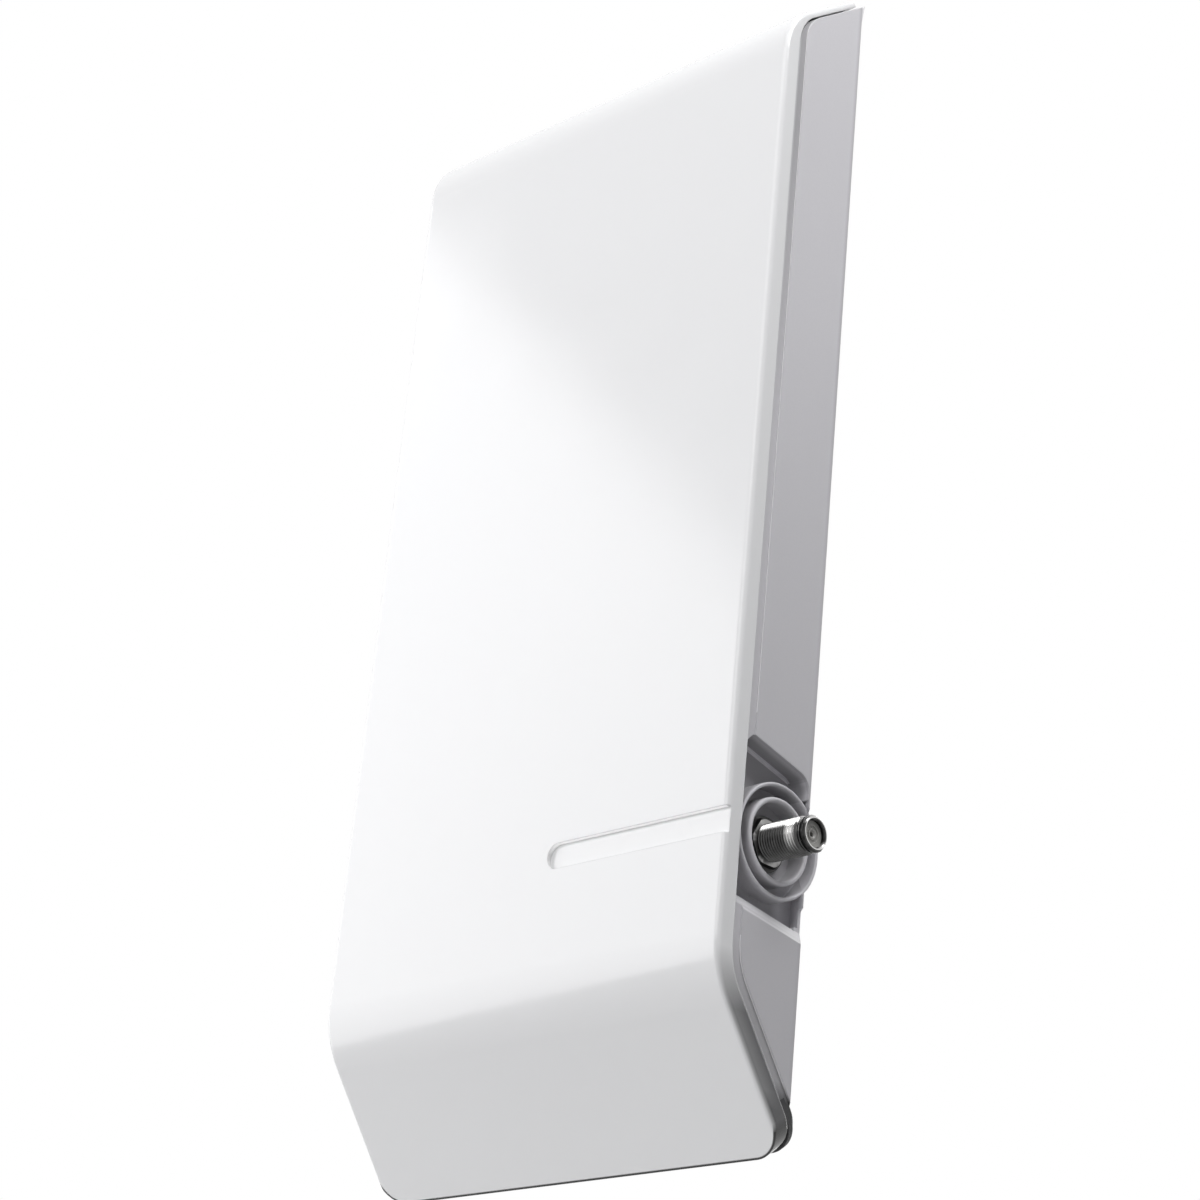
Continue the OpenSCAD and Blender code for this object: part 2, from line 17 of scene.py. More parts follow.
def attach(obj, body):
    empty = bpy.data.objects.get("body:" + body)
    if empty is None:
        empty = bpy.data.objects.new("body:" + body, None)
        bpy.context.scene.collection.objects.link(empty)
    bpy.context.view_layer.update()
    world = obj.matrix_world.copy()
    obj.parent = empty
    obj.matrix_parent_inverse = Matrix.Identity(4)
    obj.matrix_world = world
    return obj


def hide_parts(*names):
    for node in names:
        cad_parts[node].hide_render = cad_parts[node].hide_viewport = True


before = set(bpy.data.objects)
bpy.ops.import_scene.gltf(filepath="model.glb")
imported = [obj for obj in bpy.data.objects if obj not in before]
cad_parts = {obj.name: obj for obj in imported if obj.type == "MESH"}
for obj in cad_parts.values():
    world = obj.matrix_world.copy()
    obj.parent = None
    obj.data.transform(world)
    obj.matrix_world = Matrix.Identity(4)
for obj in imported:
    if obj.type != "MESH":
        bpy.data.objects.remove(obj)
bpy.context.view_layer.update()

bl_info = {
    "name": "Slim Outdoor Aerial",
    "version": (1, 0, 0),
    "blender": (4, 5, 0),
    "location": "View3D > Sidebar > Aerial",
    "description": "Builds the finished pieces of a slim outdoor aerial panel",
    "category": "Add Mesh",
}

MM = 0.001

# Axis of the connector
AXIS_Y = -15 * MM
AXIS_Z = -85 * MM

# Front of the cover, and how far below the origin the chin starts
FRONT_DEPTH = 35 * MM
CHIN_TOP_Z = 122.2 * MM

# Lower end of the chin's face, below and in front of the origin, and its round corners
CHIN_END_Y = 6.65 * MM
CHIN_END_Z = 160 * MM
CHIN_CORNER_X = 60.5 * MM
CHIN_CORNER_R = 8.5 * MM

# Run of the chin's face in Y and Z for each unit along it
CHIN_Y = 0.6
CHIN_Z = 0.8

# Box round the slot in the front, and the front and back end of the slot's wall
SLOT_Z = AXIS_Z - 0.4 * MM
SLOT_START_X = 5 * MM
SLOT_END_X = 68.2 * MM
SLOT_HALF = 3.6 * MM
SLOT_MOUTH_Y = -34.93 * MM
SLOT_FLOOR_Y = -33.86 * MM

# Side faces of the housing, a place just inside them, the sunken strip in them and the
# step beside it
SIDE_X = 69 * MM
SIDE_FACE_X = 68.9 * MM
STRIP_X = (68.2 * MM, 68.55 * MM)
STEP_X = (68.56 * MM, 68.97 * MM)

# Line along the bevelled back edge: its place at the side face and its rise inwards
BEVEL_Y = -6.3 * MM
BEVEL_RISE = 0.75

# Just inside the inner wall of the pocket, and the lowest and highest level of the pocket
# and of the painted light on its ledge, from the connector's axis
POCKET_X = 62.5 * MM
POCKET_LEVELS = (-22 * MM, 26 * MM)
LEDGE_LEVELS = (-32 * MM, -15 * MM)

# Ceiling of the pocket: its level above the axis near the back and its rise to the front
CEILING_LEVEL = 18.2 * MM
CEILING_BACK_Y = -6.5 * MM
CEILING_RISE = 0.232

# Along the connector's axis and out from it, in millimetres
SHANK_X = 57.6
HEX_X = 63.3
THREAD_X = 64.9
NECK_X = 77.0
END_X = 79.6
PIN_R = 0.6
BORE_R = 3.3
SHANK_R = 4.4
RIM_R = 4.6
CREST_R = 4.76
HEX_FLATS = 11.1

# Level of the thread's flank at each part of a turn, from root 0 to crest 1
THREAD_FORM = (1.0, 1.0, 0.72, 0.38, 0.05, 0.0, 0.3, 0.68)

# Corners in one turn of a turned piece, and the angle from which an edge is sharp
TURN_STEPS = 96
SHARP_DEGREES = 35.0

# Outputs of Blender's nodes that are asked for by number
OBJECT_POINT = 3
TRUE_NORMAL = 3
MIXED_COLOUR = 2
CAMERA_GLOSSY_TRANSMISSION_RAYS = (0, 3, 6)

# The photo's camera
CAMERA_PLACE = (0.540755, -0.536267, -0.325827)
CAMERA_AXES = (
    (0.716745, 0.691634, 0.088989),
    (0.214286, -0.339888, 0.915728),
    (0.663595, -0.637274, -0.391820),
)
CAMERA_LENS = 92.436

FLOOR_Z = -0.62
FLOOR_HALF = 1.6

# Name, place, target, size and watts of each lamp, and the direction of its long side
LAMPS = (
    ("left_softbox", (-1.048, -0.531, 0.24), (-0.431, 0.254, 0.293), (1.3, 1.0), 10.5,
     (0.567, -0.398, -0.723)),
    ("front_softbox", (0.25, -1.42, 0.60), (0, 0, 0.07), (1.2, 0.9), 9.8, None),
    ("top_lamp", (0.30, -0.30, 0.50), (0.03, -0.035, 0.10), (0.25, 0.25), 0.65, None),
    ("right_lamp", (0.55, 0.02, 0.70), (0.07, 0, 0.08), (0.4, 0.4), 4.45, None),
    ("back_softbox", (-0.3, 1.4, 0.4), (0, 0, 0), (1.0, 1.0), 7.0, None),
)

BLACK = (0.0, 0.0, 0.0)
WHITE = (1.0, 1.0, 1.0)


# Properties
class AerialSizes(PropertyGroup):
    """Sizes of the pieces that are finer than the frame."""

    thread_pitch: FloatProperty(
        name="Thread pitch",
        description="Distance from crest to crest of the connector's thread",
        default=0.794 * MM,
        min=0.5 * MM,
        max=1.5 * MM,
        unit="LENGTH",
    )
    thread_depth: FloatProperty(
        name="Thread depth",
        description="Depth of the connector's thread below its crests",
        default=0.42 * MM,
        min=0.2 * MM,
        max=0.6 * MM,
        unit="LENGTH",
    )
    turns_steps: IntProperty(
        name="Steps per turn",
        description="Corners in one turn of the thread",
        default=72,
        min=24,
        max=128,
    )


class AerialFinish(PropertyGroup):
    """Colours of the pieces and of their painted shade, and the level of the studio light."""

    cover_colour: FloatVectorProperty(
        name="Cover",
        description="Gloss white of the moulded cover",
        subtype="COLOR",
        size=3,
        min=0.0,
        max=1.0,
        default=(0.86, 0.86, 0.87),
    )
    housing_colour: FloatVectorProperty(
        name="Housing",
        description="Pale grey of the rear housing",
        subtype="COLOR",
        size=3,
        min=0.0,
        max=1.0,
        default=(0.68, 0.67, 0.70),
    )
    # Painted shade: this grey stands in for the shade in the sunken strip
    strip_shade_colour: FloatVectorProperty(
        name="Strip",
        description="Shaded grey of the sunken strip behind the cover's edge",
        subtype="COLOR",
        size=3,
        min=0.0,
        max=1.0,
        default=(0.40, 0.395, 0.41),
    )
    # Painted shade: this grey stands in for the shade on the cover's side edge and lower end along
    # the chin, not a finish of its own
    chin_shade_colour: FloatVectorProperty(
        name="Lower edge",
        description="Satin grey of the cover's side edge along the chin",
        subtype="COLOR",
        size=3,
        min=0.0,
        max=1.0,
        default=(0.095, 0.095, 0.10),
    )
    nickel_colour: FloatVectorProperty(
        name="Nickel",
        description="Bright plating of the connector",
        subtype="COLOR",
        size=3,
        min=0.0,
        max=1.0,
        default=(0.68, 0.675, 0.67),
    )
    # Painted shade: the white insulator is given this mid grey, for the shade deep in the
    # connector's mouth
    insulator_shade_colour: FloatVectorProperty(
        name="Insulator",
        description="Grey plastic in the mouth of the connector",
        subtype="COLOR",
        size=3,
        min=0.0,
        max=1.0,
        default=(0.34, 0.335, 0.32),
    )
    lamp_level: FloatProperty(
        name="Lamp level",
        description="Strength of all studio lamps together",
        default=1.0,
        min=0.0,
        max=4.0,
    )


# Shader maths
class Value:
    """A socket that can be used in ordinary arithmetic."""

    def __init__(self, paint, socket):
        self.paint = paint
        self.socket = socket

    def _math(self, operation, *values):
        return self.paint.node("ShaderNodeMath", {"operation": operation}, *values)

    def __add__(self, other):
        return self._math("ADD", self, other)

    def __radd__(self, other):
        return self._math("ADD", other, self)

    def __sub__(self, other):
        return self._math("SUBTRACT", self, other)

    def __rsub__(self, other):
        return self._math("SUBTRACT", other, self)

    def __mul__(self, other):
        return self._math("MULTIPLY", self, other)

    def __rmul__(self, other):
        return self._math("MULTIPLY", other, self)

    def __pow__(self, other):
        return self._math("POWER", self, other)

    def __gt__(self, other):
        return self._math("GREATER_THAN", self, other)

    def __lt__(self, other):
        return self._math("LESS_THAN", self, other)

    def __abs__(self):
        return self._math("ABSOLUTE", self)

    def at_least(self, least):
        """The larger of this value and another."""
        return self._math("MAXIMUM", self, least)

    def between(self, low, high):
        """1 between two levels and 0 elsewhere."""
        return (self > low) * (self < high)


class Paint:
    """One material, or the world, and its nodes."""

    def __init__(self, name, kind=None):
        self.material = (bpy.data.materials if kind is None else kind).new(name)
        self.material.use_nodes = True
        self.tree = self.material.node_tree
        self.tree.nodes.clear()

    def node(self, kind, settings=None, *values, out=0, **named):
        """Adds a node: its settings first, then the values or links of its sockets."""
        node = self.tree.nodes.new(kind)
        for key, setting in (settings or {}).items():
            setattr(node, key, setting)
        for index, value in enumerate(values):
            self._fill(node.inputs[index], value)
        for key, value in named.items():
            self._fill(self._input(node, key), value)
        return Value(self, node.outputs[out]) if node.outputs else None

    @staticmethod
    def _input(node, key):
        wanted = key.replace("_", " ").lower()
        for socket in node.inputs:
            if socket.name.lower() == wanted and socket.enabled:
                return socket
        raise KeyError(f"{node.bl_idname} has no input {key}")

    def _fill(self, socket, value):
        if isinstance(value, Value):
            self.tree.links.new(value.socket, socket)
        elif value is not None:
            if socket.type == "RGBA" and len(value) == 3:
                value = (*value, 1.0)
            socket.default_value = value

    def place(self):
        """The point on the piece, in the frame of the part."""
        return self.node("ShaderNodeTexCoord", out=OBJECT_POINT)

    def axis(self, index):
        """One coordinate of the point on the piece."""
        return self.node("ShaderNodeSeparateXYZ", None, self.place(), out=index)

    def facing(self, index):
        """One coordinate of the true surface normal."""
        normal = self.node("ShaderNodeNewGeometry", out=TRUE_NORMAL)
        return self.node("ShaderNodeSeparateXYZ", None, normal, out=index)

    def noise(self, scale, detail=3.0, roughness=0.5, stretch=None):
        """Soft noise from 0 to 1 over the piece; scale is in waves per metre."""
        point = self.place()
        if stretch:
            point = self.node("ShaderNodeVectorMath", {"operation": "MULTIPLY"}, point, stretch)
        return self.node(
            "ShaderNodeTexNoise", None,
            Vector=point, Scale=scale, Detail=detail, Roughness=roughness,
        )

    def specks(self, scale, size):
        """Small round specks: 1 in a speck and 0 elsewhere."""
        cells = self.node("ShaderNodeTexVoronoi", None, Vector=self.place(), Scale=scale)
        return cells < size

    def ramp(self, value, low, high, start=0.0, end=1.0):
        """Value from low..high spread over start..end."""
        return self.node(
            "ShaderNodeMapRange", {"clamp": True},
            Value=value, From_Min=low, From_Max=high, To_Min=start, To_Max=end,
        )

    def mix(self, factor, first, second):
        """Two colours mixed."""
        return self.node(
            "ShaderNodeMix", {"data_type": "RGBA"}, out=MIXED_COLOUR,
            Factor=factor, A=first, B=second,
        )

    def bump(self, height, strength, distance, edge=0.0):
        """A bumped normal; edge is the radius of a worn edge, in metres."""
        worn = None
        if edge:
            worn = self.node("ShaderNodeBevel", {"samples": 6}, Radius=edge)
        return self.node(
            "ShaderNodeBump", None,
            Strength=strength, Distance=distance, Height=height, Normal=worn,
        )

    def seen(self):
        """1 for rays of the camera, of reflections and through glass, and 0 for the others."""
        camera, glossy, transmission = (
            self.node("ShaderNodeLightPath", out=index)
            for index in CAMERA_GLOSSY_TRANSMISSION_RAYS
        )
        return camera + glossy + transmission

    def shade(self, **sockets):
        """The shader and the output; returns the material."""
        shader = self.node("ShaderNodeBsdfPrincipled", None, **sockets)
        self.node("ShaderNodeOutputMaterial", None, shader)
        return self.material


def tint(colour, factor):
    """A colour made lighter or darker."""
    return tuple(min(1.0, c * factor) for c in colour)


# Where a finish changes over the cover and the housing
def chin_depth(p):
    """How deep a point lies below the chin's face."""
    return (p.axis(2) + CHIN_TOP_Z) * CHIN_Y + (p.axis(1) + FRONT_DEPTH) * CHIN_Z


def chin_rim_shadow(p):
    """Painted shadow: the thin dark line round the lower end of the chin's face."""
    down = (p.axis(1) + CHIN_END_Y) * CHIN_Y - (p.axis(2) + CHIN_END_Z) * CHIN_Z
    down = down + CHIN_CORNER_R
    across = (abs(p.axis(0)) - CHIN_CORNER_X).at_least(0.0)
    radius = (across * across + down.at_least(0.0) * down.at_least(0.0)) ** 0.5
    return p.ramp(radius, 7.8 * MM, 8.05 * MM) * p.ramp(down, 0.5 * MM, 2.5 * MM)


def chin_side_shade(p):
    """Painted shade on the cover's side edge along the chin, stronger towards the back."""
    side = p.ramp(abs(p.axis(0)), 68.3 * MM, 68.95 * MM)
    low = p.ramp(p.axis(2), -116 * MM, -130 * MM)
    return side * low * p.ramp(chin_depth(p), 1.0 * MM, 5.0 * MM, 0.8, 1.0)


def chin_end_shade(p):
    """Painted shade on the end face and the round corners below the chin."""
    return p.ramp(p.facing(1), -0.35, -0.1) * p.ramp(p.axis(2), -146 * MM, -150 * MM)


def slot_area(p):
    """The slot in the front, seen straight on."""
    return p.axis(0).between(SLOT_START_X, SLOT_END_X) * (abs(p.axis(2) - SLOT_Z) < SLOT_HALF)


def sunken_strip(p):
    """The sunken strip behind the cover's side edge."""
    return abs(p.axis(0)).between(*STRIP_X)


def right_edge(p):
    """The right edge of the housing, as deep as the pocket, without its bevelled back."""
    bevel = (SIDE_X - p.axis(0)) * BEVEL_RISE + BEVEL_Y
    return (p.axis(0) > POCKET_X) * (p.axis(1) - bevel < 0.0)


# Materials
def gloss_white(colour, chin_edge):
    """Polished white moulding, with painted shade on its side edge and lower end along the chin, a
    painted shadow round the chin's rim and painted light in the slot.
    """
    p = Paint("cover_white")
    cloud = p.noise(9.0, 3.0)
    dust = p.specks(900.0, 0.035) * p.ramp(p.noise(60.0), 0.5, 0.75)
    base = p.mix(cloud, tint(colour, 0.985), tint(colour, 1.01))
    base = p.mix(dust * 0.25, base, tint(colour, 0.8))
    # Painted shade on the cover's side edge and lower end along the chin
    base = p.mix(chin_side_shade(p), base, chin_edge)
    base = p.mix(chin_end_shade(p), base, chin_edge)
    # Painted shadow: a thin near-black line round the lower end of the chin's face
    base = p.mix(chin_rim_shadow(p), base, (0.02, 0.02, 0.02))
    # Painted light: the slot's walls, and a little its floor, are painted paler than the cover,
    # lifting their shade
    slot = slot_area(p)
    wall = p.axis(1).between(SLOT_MOUTH_Y, SLOT_FLOOR_Y)
    floor = (p.axis(1) > SLOT_FLOOR_Y) * 0.12
    base = p.mix(slot * (wall + floor), base, (0.97, 0.97, 0.97))
    # Painted light: the slot's upper wall glows a little, only to look as pale as in the photo
    glow = slot * (p.axis(1) > SLOT_MOUTH_Y) * p.ramp(p.facing(2), -0.2, -0.9)
    rough = p.ramp(p.noise(35.0, 4.0), 0.3, 0.7, 0.10, 0.15) + dust * 0.2
    peel = p.noise(420.0, 2.0)
    return p.shade(
        Base_Color=base, Roughness=rough, IOR=1.5,
        Normal=p.bump(peel, 0.05, 0.0002, 0.5 * MM),
        Emission_Color=p.mix(glow, BLACK, (0.24, 0.24, 0.24)), Emission_Strength=1.0,
    )


def grain_coat(p, colour, grain, depth, rough, edge=0.0):
    """Clouding, roughness and normal of a spark-eroded moulding."""
    cloud = p.noise(14.0, 3.0)
    fine = p.noise(grain, 3.0, 0.6)
    base = p.mix(cloud, tint(colour, 0.97), tint(colour, 1.03))
    base = p.mix(p.ramp(fine, 0.35, 0.7) * 0.2, base, tint(colour, 0.9))
    roughness = p.ramp(fine, 0.3, 0.7, rough - 0.06, rough + 0.08)
    return base, roughness, p.bump(fine, depth, 0.0002, edge)


def grained_plastic(name, colour, grain=2600.0, depth=0.12, rough=0.5):
    """Matt moulding with a fine grain."""
    p = Paint(name)
    base, roughness, normal = grain_coat(p, colour, grain, depth, rough)
    return p.shade(Base_Color=base, Roughness=roughness, IOR=1.46, Normal=normal)


def side_shading(p, base, colour, strip):
    """Painted shade on the housing's side: in its sunken strip, along its back edge and towards
    the bottom, with painted light on the step by the strip.
    """
    wide = abs(p.axis(0))
    sunken = sunken_strip(p)
    # Painted shade in the sunken strip, strongest high up and low down
    high = p.ramp(p.axis(2), 20 * MM, 110 * MM, 0.25, 1.0)
    low = p.ramp(p.axis(2), -112 * MM, -132 * MM, 0.0, 0.9)
    base = p.mix(sunken * (high + low), base, strip)
    # The strip's painted shade is lighter next to the cover
    front = ((p.axis(1) + FRONT_DEPTH) * -1.0).at_least(chin_depth(p) * -1.0)
    base = p.mix(sunken * (front > -6.05 * MM) * 0.45, base, colour)
    # Painted shadow along the back edge of the side face
    edge = p.ramp(p.axis(1), -7.4 * MM, -6.4 * MM) * (wide > SIDE_FACE_X)
    edge = edge * p.ramp(p.axis(2), -20 * MM, 40 * MM, 0.15, 0.35)
    base = p.mix(edge, base, tint(colour, 0.5))
    # Painted shade: the side face darker towards the bottom
    lower = (wide > SIDE_FACE_X) * p.ramp(p.axis(2), 60 * MM, -120 * MM, 0.0, 0.22)
    base = p.mix(lower, base, tint(colour, 0.35))
    # Painted light: the step beside the strip is painted pale, except next to the pocket
    away = abs(p.axis(2) - AXIS_Z - 1 * MM) > 28 * MM
    return p.mix(away * wide.between(*STEP_X) * 0.7, base, (0.97, 0.96, 0.98))


def pocket_shading(p, base, colour):
    """Painted shade on the pocket's walls and ceiling, a painted highlight on the fillet between
    them, and painted light on the ledge below.
    """
    level = p.axis(2) - AXIS_Z
    inside = right_edge(p)
    pocket = inside * level.between(*POCKET_LEVELS)
    # The painted shade is left off the walls low down at the back
    back = p.ramp(p.axis(1), -11 * MM, -8 * MM) * p.ramp(level, -6 * MM, -12 * MM)
    deep = p.ramp(p.axis(0), 67.9 * MM, 66.2 * MM) * (1.0 - back)
    # Painted shade: dark walls, darker again on the ceiling
    base = p.mix(pocket * deep * 0.42, base, tint(colour, 0.22))
    ceiling = pocket * p.ramp(p.facing(2), -0.5, -0.8) * (level > 12 * MM)
    base = p.mix(ceiling * 0.3, base, tint(colour, 0.15))
    # Painted highlight on the fillet below the ceiling
    below = (CEILING_LEVEL - (p.axis(1) - CEILING_BACK_Y) * CEILING_RISE) - level
    fillet = pocket * (below < 0.7 * MM) * (p.axis(0) < 63.6 * MM)
    base = p.mix(fillet * 0.8, base, tint(colour, 1.2))
    # Painted light on the ledge
    ledge = inside * p.ramp(p.facing(2), 0.2, 0.6) * level.between(*LEDGE_LEVELS)
    ledge = ledge * p.ramp(p.axis(1), -22 * MM, -9 * MM, 0.1, 0.75)
    return p.mix(ledge, base, (0.97, 0.97, 0.98))


def housing_plastic(colour, strip):
    """The housing's grained moulding, with painted shade on its side, in its sunken strip, in the
    pocket and under its lower end.
    """
    p = Paint("housing_grey")
    base, roughness, normal = grain_coat(p, colour, 2600.0, 0.12, 0.5, 0.45 * MM)
    base = side_shading(p, base, colour, strip)
    base = pocket_shading(p, base, colour)
    # Painted shade: the downward faces and the strip at the lower end are painted near black
    underside_shade = p.ramp(p.facing(2), -0.1, -0.3) + sunken_strip(p)
    underside_shade = underside_shade * p.ramp(p.axis(2), -143 * MM, -148 * MM)
    base = p.mix(underside_shade, base, (0.01, 0.01, 0.01))
    return p.shade(Base_Color=base, Roughness=roughness, IOR=1.46, Normal=normal)


def plated(name, colour, rough):
    """Plated or bare metal with a little handling wear."""
    p = Paint(name)
    wear = p.noise(500.0, 5.0, 0.65)
    base = p.mix(p.ramp(wear, 0.35, 0.7), tint(colour, 0.9), tint(colour, 1.06))
    stain = p.ramp(p.noise(150.0, 3.0), 0.55, 0.75)
    base = p.mix(stain * 0.3, base, tint(colour, 0.6))
    return p.shade(
        Base_Color=base, Metallic=1.0,
        Roughness=p.ramp(wear, 0.3, 0.7, rough - 0.05, rough + 0.1),
        Normal=p.bump(p.noise(1500.0, 3.0), 0.12, 0.0001),
    )


def connector_plating(colour):
    """Bright nickel with painted reflection, bright where it faces up or out along the axis and
    dark elsewhere; painted shade round its foot and on its mouth ring, a painted glint on the
    thread, and rougher round its foot.
    """
    p = Paint("connector_nickel")
    along = p.axis(0)
    wear = p.noise(500.0, 5.0, 0.65)
    # Painted reflection: faces that look up and the end faces take the bright nickel, the rest a
    # dark copy of it
    lit = p.ramp(p.facing(2), 0.25, 0.8) + p.ramp(p.facing(0), 0.9, 0.97)
    # Painted shade round the foot and on the flanks of the ring at the mouth
    foot = p.ramp(along, 65.2 * MM, 64.7 * MM)
    lit = lit * (1.0 - foot * 0.94)
    ring = along.between(77.9 * MM, 79.35 * MM) * p.ramp(p.facing(2), 0.75, 0.35)
    lit = lit * (1.0 - ring)
    # Painted highlight: a glint on the front of the thread, near its middle
    painted_glint = p.ramp(along, 73.0 * MM, 74.2 * MM) * p.ramp(along, 76.6 * MM, 75.6 * MM)
    painted_glint = painted_glint * p.ramp(p.facing(2), -0.55, -0.2) * p.ramp(p.facing(1), 0.2, -0.2)
    lit = lit + painted_glint * 0.75
    dark = p.mix(ring + foot * 0.6, tint(colour, 0.09), tint(colour, 0.03))
    base = p.mix(lit + p.ramp(wear, 0.4, 0.8) * 0.08, dark, colour)
    roughness = p.ramp(wear, 0.3, 0.7, 0.12, 0.24) + foot * 0.4
    return p.shade(
        Base_Color=base, Metallic=1.0, Roughness=roughness,
        Normal=p.bump(p.noise(1500.0), 0.1, 0.0001, 0.08 * MM),
    )


def board_laminate(name, colour):
    """Solder mask over glass cloth, with tracks that show through."""
    p = Paint(name)
    weave = p.noise(1800.0, 2.0, 0.5, (1.0, 1.0, 0.2))
    tracks = p.ramp(p.noise(160.0, 1.0, 0.4, (1.0, 1.0, 2.5)), 0.5, 0.53)
    base = p.mix(tracks * 0.5, colour, tint(colour, 1.9))
    base = p.mix(weave * 0.3, base, tint(colour, 0.7))
    return p.shade(
        Base_Color=base, Roughness=p.ramp(weave, 0.3, 0.7, 0.25, 0.4),
        Normal=p.bump(weave + tracks, 0.1, 0.0001),
    )


# Meshes
def build_mesh(name, points, faces, material):
    """An object at the origin whose vertices are in the frame of the part."""
    mesh = bpy.data.meshes.new(name)
    mesh.from_pydata([tuple(p) for p in points], [], faces)
    mesh.validate()
    obj = bpy.data.objects.new(name, mesh)
    bpy.context.scene.collection.objects.link(obj)
    work = bmesh.new()
    work.from_mesh(mesh)
    bmesh.ops.remove_doubles(work, verts=work.verts, dist=1e-7)
    bmesh.ops.recalc_face_normals(work, faces=work.faces)
    limit = math.radians(SHARP_DEGREES)
    for face in work.faces:
        face.smooth = True
    for edge in work.edges:
        edge.smooth = len(edge.link_faces) == 2 and edge.calc_face_angle(0.0) < limit
    work.to_mesh(mesh)
    work.free()
    mesh.materials.append(material)
    return obj


def round_axis(x, r, a):
    """The point at a radius and an angle about the connector's axis, from millimetres."""
    return x * MM, AXIS_Y + r * MM * math.cos(a), AXIS_Z + r * MM * math.sin(a)


def turned(profile):
    """Points and faces of a closed profile of (x, radius) about the connector's axis.

    It is in millimetres, and a radius may be a function of the angle.
    """
    points, faces = [], []
    for x, radius in profile:
        for k in range(TURN_STEPS):
            a = 2 * math.pi * k / TURN_STEPS
            points.append(round_axis(x, radius(a) if callable(radius) else radius, a))
    for i in range(len(profile)):
        row, next_row = i * TURN_STEPS, (i + 1) % len(profile) * TURN_STEPS
        for k in range(TURN_STEPS):
            m = (k + 1) % TURN_STEPS
            faces.append((row + k, row + m, next_row + m, next_row + k))
    return points, faces


def hexagon(x0, x1, flats, bore):
    """A chamfered hexagon with a bore, about the connector's axis, in millimetres."""
    corner = flats / 2 / math.cos(math.pi / 6)
    drop, chamfer, steps = 0.5, 0.3, 4

    def side(limit):
        return lambda a: min(
            limit, flats / 2 / math.cos((a % (math.pi / 3)) - math.pi / 6)
        )

    def rise(t):
        return side(corner - drop * (1 - t / steps))

    rows = [(x0, bore), (x0, side(corner - drop))]
    rows += [(x0 + chamfer * t / steps, rise(t)) for t in range(1, steps + 1)]
    rows += [(x1 - chamfer * t / steps, rise(t)) for t in range(steps, 0, -1)]
    rows += [(x1, side(corner - drop)), (x1, bore)]
    return turned(rows)


def screw_thread(x0, x1, crest, depth, pitch, steps):
    """The helical surface of a thread that runs out in a chamfer at x1, in millimetres."""
    form = len(THREAD_FORM)
    chamfer, slope, sunk, over = 0.6, 1.1, 0.2, 0.05
    rows = int((x1 - x0) / pitch + 1) * form
    points, faces = [], []
    for j in range(rows + form + 1):
        for k in range(steps):
            x = x0 + pitch * (j / form + k / steps - 1)
            r = crest - depth * (1 - THREAD_FORM[j % form])
            r = min(r, max(crest - depth - sunk, crest - slope * (x - (x1 - chamfer))))
            points.append(round_axis(min(x, x1 + over), r, 2 * math.pi * k / steps))
    for j in range(rows):
        for k in range(steps):
            if k + 1 < steps:
                near, next_row = j * steps + k + 1, (j + 1) * steps + k + 1
            else:
                near, next_row = (j + form) * steps, (j + form + 1) * steps
            faces.append((j * steps + k, near, next_row, (j + 1) * steps + k))
    return points, faces


def joined(*parts):
    """Several (points, faces) as one."""
    points, faces = [], []
    for more_points, more_faces in parts:
        start = len(points)
        points += more_points
        faces += [tuple(i + start for i in face) for face in more_faces]
    return points, faces


def finish_piece(obj, slot, *nodes):
    """Sets a piece on the body and hides the solids it stands for; its slot is not used."""
    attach(obj, "root")
    if nodes:
        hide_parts(*nodes)


def paint_nodes(material, *names):
    """Gives CAD nodes their finish."""
    for name in names:
        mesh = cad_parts[name].data
        mesh.materials.clear()
        mesh.materials.append(material)


def connector_shell(root):
    """The connector's shank, the neck behind its mouth and its rim; root is the thread's."""
    return turned([
        (SHANK_X, BORE_R), (SHANK_X, SHANK_R - 0.2), (SHANK_X + 0.2, SHANK_R),
        (HEX_X + 0.1, SHANK_R), (HEX_X + 0.1, root - 0.15), (NECK_X, root - 0.15),
        (NECK_X + 0.4, root - 0.15), (NECK_X + 0.5, CREST_R - 0.25),
        (NECK_X + 0.75, CREST_R - 0.2), (NECK_X + 0.95, CREST_R - 0.3),
        (NECK_X + 1.0, root - 0.1), (NECK_X + 1.3, root - 0.1), (NECK_X + 1.4, RIM_R - 0.1),
        (NECK_X + 1.5, RIM_R), (END_X - 0.65, RIM_R), (END_X - 0.55, RIM_R - 0.05),
        (END_X - 0.1, RIM_R - 0.5), (END_X, RIM_R - 0.62), (END_X, RIM_R - 0.85),
        (END_X - 0.08, RIM_R - 0.95), (END_X - 0.5, BORE_R),
    ])


def insulator_plug():
    """The insulator, with a round groove in its face and a countersunk hole for the pin."""
    back_x = SHANK_X - 1.5
    face_x = END_X - 1.2
    return turned([
        (back_x, PIN_R), (back_x, BORE_R), (face_x, BORE_R), (face_x, 2.1),
        (face_x - 0.25, 2.0), (face_x - 0.25, 1.45), (face_x, 1.35), (face_x, 1.0),
        (face_x - 0.3, PIN_R),
    ])


